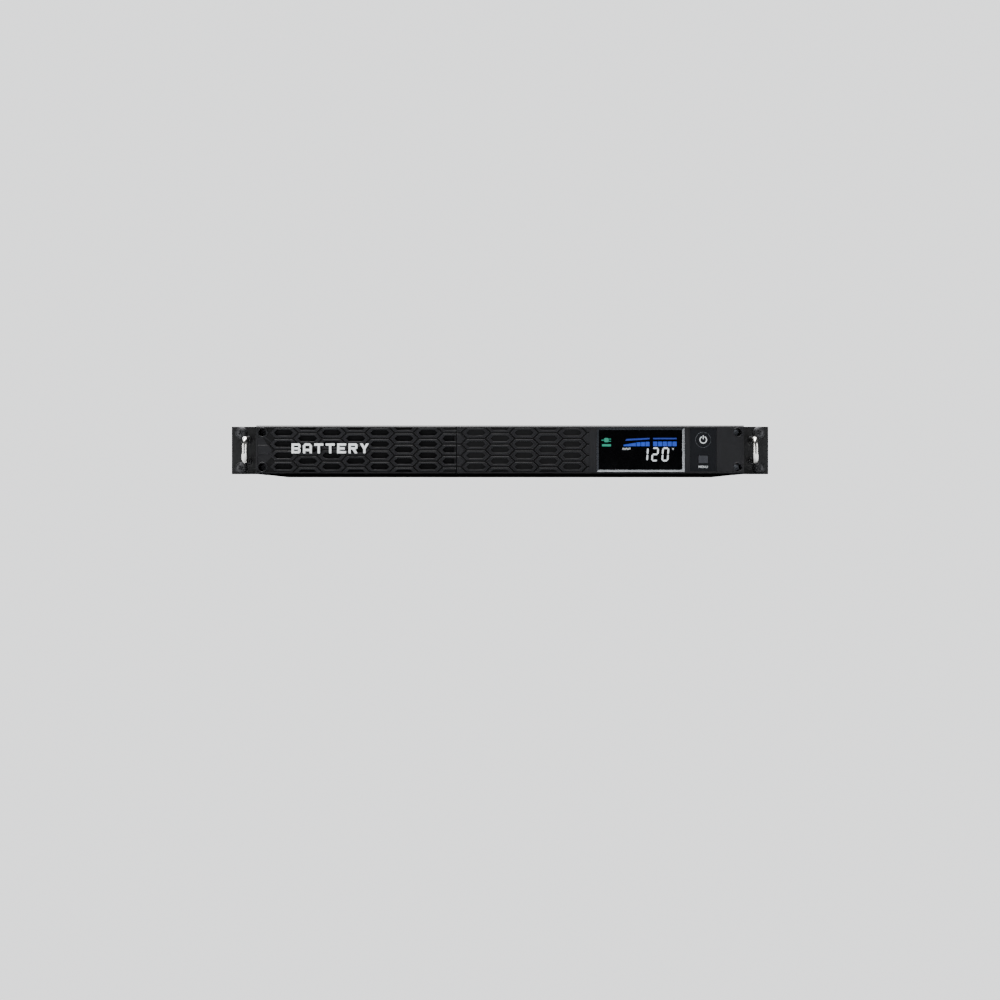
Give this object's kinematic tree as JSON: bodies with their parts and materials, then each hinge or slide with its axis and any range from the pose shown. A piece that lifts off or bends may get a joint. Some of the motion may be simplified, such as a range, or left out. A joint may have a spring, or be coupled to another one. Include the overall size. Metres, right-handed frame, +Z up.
{
  "type": "rackmount ups",
  "caption": "Low rack-mount uninterruptible power supply with slotted ears, bail handles, hexagon-grille front, lit display, sliding battery pack, rear fan, inlet and outlets.",
  "frame": {"origin": "centre of the four rack slots, on the rear face of the ears", "axes": "+X to the right seen from the front, +Y into the rack, +Z up"},
  "size_m": [0.4826, 0.2558, 0.0432],
  "materials": {
    "black_powder_coat": "powder-coated steel, fine texture",
    "black_abs": "injection-moulded ABS, fine texture",
    "galvanised_steel": "zinc-coated sheet",
    "bright_plating": "polished nickel plate",
    "zinc_screws": "zinc-plated",
    "black_screws": "black oxide",
    "silver_trim": "vacuum-metallised moulding",
    "smoked_window": "hard-coated acrylic",
    "lcd_glass": "backlit display glass",
    "panel_film": "satin polycarbonate",
    "lit_white": "lit light guide",
    "badge_white": "moulded letters",
    "circuit_board": "solder mask on glass epoxy",
    "black_component": "moulded epoxy",
    "grey_cable": "flat cable",
    "battery_case": "moulded ABS battery case",
    "tin_plate": "tin-plated contacts",
    "natural_nylon": "natural nylon",
    "lead_insulation": "silicone-insulated lead",
    "ferrite": "sintered ferrite",
    "yellow_tape": "polyester winding tape",
    "heatsink_aluminium": "extruded",
    "capacitor_sleeve": "shrink sleeve",
    "relay_case": "moulded relay case",
    "choke_coating": "epoxy-coated toroid",
    "fan_plastic": "glass-filled plastic",
    "guard_wire": "nickel-plated wire",
    "socket_plastic": "flame-retardant nylon",
    "brass_contacts": "stamped brass",
    "brass_stud": "turned brass",
    "reset_button": "moulded button",
    "plated_shell": "nickel-plated shell",
    "label_film": "polyester label"
  },
  "bodies": {
    "case": {"chassis_tray": "black_powder_coat", "top_cover": "black_powder_coat", "cover_screws": "black_screws", "front_frame": "galvanised_steel", "bay_divider": "galvanised_steel", "rear_panel": "black_powder_coat", "left_ear": "black_powder_coat", "left_handle": "bright_plating", "right_ear": "black_powder_coat", "right_handle": "bright_plating", "ear_screws": "black_screws", "handle_screws": "zinc_screws", "front_bezel": "black_abs", "bezel_screws": "black_screws", "lcd_trim": "silver_trim", "lcd_lens": "smoked_window", "lcd_panel": "lcd_glass", "display_board": "circuit_board", "switch_bases": "black_component", "button_panel": "panel_film", "display_cable": "grey_cable", "bay_socket": "natural_nylon", "bay_leads": "lead_insulation", "main_board": "circuit_board", "board_standoffs": "zinc_screws", "transformer_core": "ferrite", "transformer_coil": "yellow_tape", "heatsinks": "heatsink_aluminium", "power_transistors": "black_component", "bulk_capacitors": "capacitor_sleeve", "relays": "relay_case", "choke": "choke_coating", "control_board": "circuit_board", "buzzer": "black_component", "fan_frame": "fan_plastic", "fan_guard": "guard_wire", "fan_screws": "zinc_screws", "ac_inlet": "socket_plastic", "inlet_pins": "tin_plate", "breaker_body": "socket_plastic", "power_outlets": "socket_plastic", "outlet_contacts": "brass_contacts", "serial_port": "plated_shell", "usb_port": "plated_shell", "network_port": "socket_plastic", "ground_stud": "brass_stud", "rating_label": "label_film"},
    "battery_cover": {"battery_door": "black_abs", "door_screws": "black_screws", "badge": "badge_white"},
    "battery_pack": {"batteries": "battery_case", "battery_terminals": "tin_plate", "battery_cradle": "galvanised_steel", "battery_plug": "natural_nylon", "battery_leads": "lead_insulation"},
    "power_key": {"power_button": "panel_film", "power_icon": "lit_white"},
    "menu_key": {"setup_button": "panel_film"},
    "impeller": {"fan_impeller": "fan_plastic"},
    "breaker_key": {"breaker_button": "reset_button"}
  },
  "joints": [
    {"name": "battery_slide", "type": "slide", "parent": "case", "child": "battery_pack", "axis": [0, -1, 0], "range_m": [0, 0.224]},
    {"name": "door_slide", "type": "slide", "parent": "case", "child": "battery_cover", "axis": [0, -1, 0], "range_m": [0, 0.28]},
    {"name": "power_press", "type": "slide", "parent": "case", "child": "power_key", "axis": [0, 1, 0], "range_m": [0, 0.0012], "stiffness_N_per_m": 800, "springref_m": -0.0006},
    {"name": "menu_press", "type": "slide", "parent": "case", "child": "menu_key", "axis": [0, 1, 0], "range_m": [0, 0.0008], "stiffness_N_per_m": 800, "springref_m": -0.0006},
    {"name": "fan_spin", "type": "hinge", "parent": "case", "child": "impeller", "pos_m": [-0.0156, 0.206, 0], "axis": [0, 1, 0], "continuous": true},
    {"name": "breaker_reset", "type": "slide", "parent": "case", "child": "breaker_key", "axis": [0, 1, 0], "range_m": [0, 0.003]}
  ],
  "couplings": [
    {"joint": "door_slide", "follows": "battery_slide", "ratio": 1.25}
  ]
}
